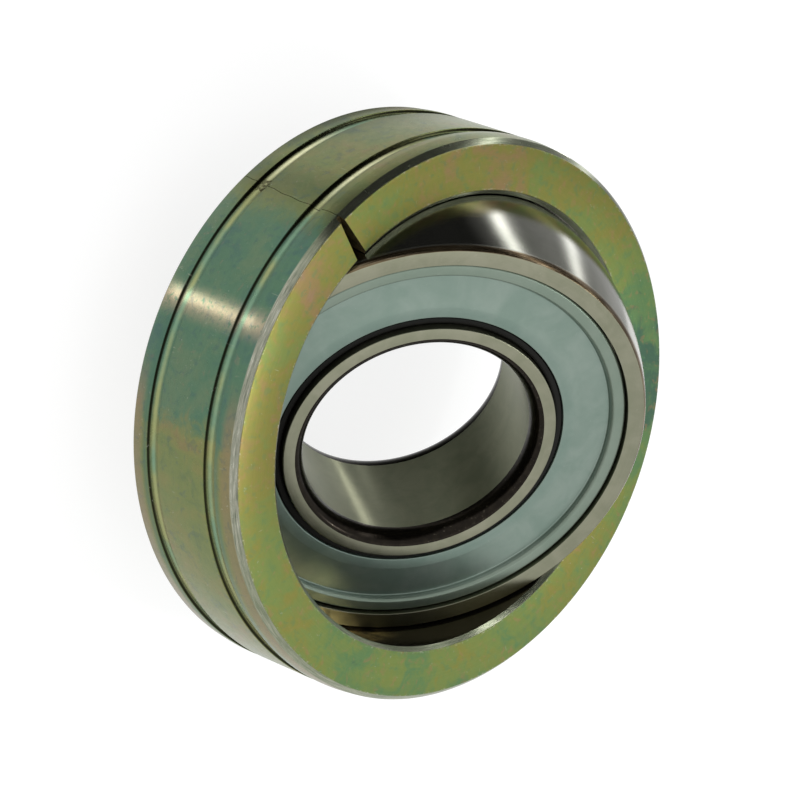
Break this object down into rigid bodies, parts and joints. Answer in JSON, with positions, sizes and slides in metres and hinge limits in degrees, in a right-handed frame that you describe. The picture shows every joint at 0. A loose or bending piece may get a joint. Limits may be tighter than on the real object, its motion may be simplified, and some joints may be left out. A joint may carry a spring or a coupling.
{
  "type": "self-aligning insert ball bearing in a split steel ring",
  "caption": "Sealed ball bearing with a spherical outside, swivelled askew in a split, chromated steel ring with two turned grooves.",
  "frame": {"origin": "centre of the ring's spherical seat, which is also the insert's centre", "axes": "+Z along the ring's axis towards its front face; the insert swivels about X and leans towards -Y at rest"},
  "size_m": [0.062, 0.062, 0.0388],
  "materials": {
    "chromated_steel": "yellow chromate over zinc, satin, with an olive, teal and yellow shimmer",
    "ground_steel": "ground bearing steel, satin, lightly stained",
    "polished_steel": "polished",
    "pressed_steel": "pressed sheet",
    "zinc_plated_sheet": "blue-grey zinc plating, satin",
    "black_rubber": "matte black"
  },
  "bodies": {
    "housing": {"housing_ring": "chromated_steel"},
    "insert_outer": {"outer_race": "ground_steel", "front_seal_outer_washer": "zinc_plated_sheet", "front_seal_rubber_lip": "black_rubber", "front_seal_inner_washer": "zinc_plated_sheet", "rear_seal_outer_washer": "zinc_plated_sheet", "rear_seal_rubber_lip": "black_rubber", "rear_seal_inner_washer": "zinc_plated_sheet"},
    "insert_inner": {"inner_race": "ground_steel"},
    "cage": {"cage_front": "pressed_steel", "cage_rear": "pressed_steel", "cage_rivet_1": "polished_steel", "cage_rivet_2": "polished_steel", "cage_rivet_3": "polished_steel", "cage_rivet_4": "polished_steel", "cage_rivet_5": "polished_steel", "cage_rivet_6": "polished_steel", "cage_rivet_7": "polished_steel", "cage_rivet_8": "polished_steel", "cage_rivet_9": "polished_steel"},
    "ball_1": {"ball_1": "polished_steel"},
    "ball_2": {"ball_2": "polished_steel"},
    "ball_3": {"ball_3": "polished_steel"},
    "ball_4": {"ball_4": "polished_steel"},
    "ball_5": {"ball_5": "polished_steel"},
    "ball_6": {"ball_6": "polished_steel"},
    "ball_7": {"ball_7": "polished_steel"},
    "ball_8": {"ball_8": "polished_steel"},
    "ball_9": {"ball_9": "polished_steel"}
  },
  "joints": [
    {"name": "swivel", "type": "hinge", "parent": "housing", "child": "insert_outer", "pos_m": [0, 0, 0], "axis": [1, 0, 0], "range_deg": [-66.8, 3.2]},
    {"name": "inner_spin", "type": "hinge", "parent": "insert_outer", "child": "insert_inner", "pos_m": [0, 0, 0], "axis": [0, -0.527, 0.8499], "continuous": true},
    {"name": "cage_spin", "type": "hinge", "parent": "insert_outer", "child": "cage", "pos_m": [0, 0, 0], "axis": [0, -0.527, 0.8499], "continuous": true},
    {"name": "ball_1_roll", "type": "hinge", "parent": "cage", "child": "ball_1", "pos_m": [0.0195, 0, 0], "axis": [0, -0.527, 0.8499], "continuous": true},
    {"name": "ball_2_roll", "type": "hinge", "parent": "cage", "child": "ball_2", "pos_m": [0.01494, 0.01065, 0.00661], "axis": [0, -0.527, 0.8499], "continuous": true},
    {"name": "ball_3_roll", "type": "hinge", "parent": "cage", "child": "ball_3", "pos_m": [0.00339, 0.01632, 0.01012], "axis": [0, -0.527, 0.8499], "continuous": true},
    {"name": "ball_4_roll", "type": "hinge", "parent": "cage", "child": "ball_4", "pos_m": [-0.00975, 0.01435, 0.0089], "axis": [0, -0.527, 0.8499], "continuous": true},
    {"name": "ball_5_roll", "type": "hinge", "parent": "cage", "child": "ball_5", "pos_m": [-0.01832, 0.00567, 0.00351], "axis": [0, -0.527, 0.8499], "continuous": true},
    {"name": "ball_6_roll", "type": "hinge", "parent": "cage", "child": "ball_6", "pos_m": [-0.01832, -0.00567, -0.00351], "axis": [0, -0.527, 0.8499], "continuous": true},
    {"name": "ball_7_roll", "type": "hinge", "parent": "cage", "child": "ball_7", "pos_m": [-0.00975, -0.01435, -0.0089], "axis": [0, -0.527, 0.8499], "continuous": true},
    {"name": "ball_8_roll", "type": "hinge", "parent": "cage", "child": "ball_8", "pos_m": [0.00339, -0.01632, -0.01012], "axis": [0, -0.527, 0.8499], "continuous": true},
    {"name": "ball_9_roll", "type": "hinge", "parent": "cage", "child": "ball_9", "pos_m": [0.01494, -0.01065, -0.00661], "axis": [0, -0.527, 0.8499], "continuous": true}
  ],
  "couplings": [
    {"joint": "cage_spin", "follows": "inner_spin", "ratio": 0.39824},
    {"joint": "ball_1_roll", "follows": "inner_spin", "ratio": -2.3549},
    {"joint": "ball_2_roll", "follows": "inner_spin", "ratio": -2.3549},
    {"joint": "ball_3_roll", "follows": "inner_spin", "ratio": -2.3549},
    {"joint": "ball_4_roll", "follows": "inner_spin", "ratio": -2.3549},
    {"joint": "ball_5_roll", "follows": "inner_spin", "ratio": -2.3549},
    {"joint": "ball_6_roll", "follows": "inner_spin", "ratio": -2.3549},
    {"joint": "ball_7_roll", "follows": "inner_spin", "ratio": -2.3549},
    {"joint": "ball_8_roll", "follows": "inner_spin", "ratio": -2.3549},
    {"joint": "ball_9_roll", "follows": "inner_spin", "ratio": -2.3549}
  ]
}
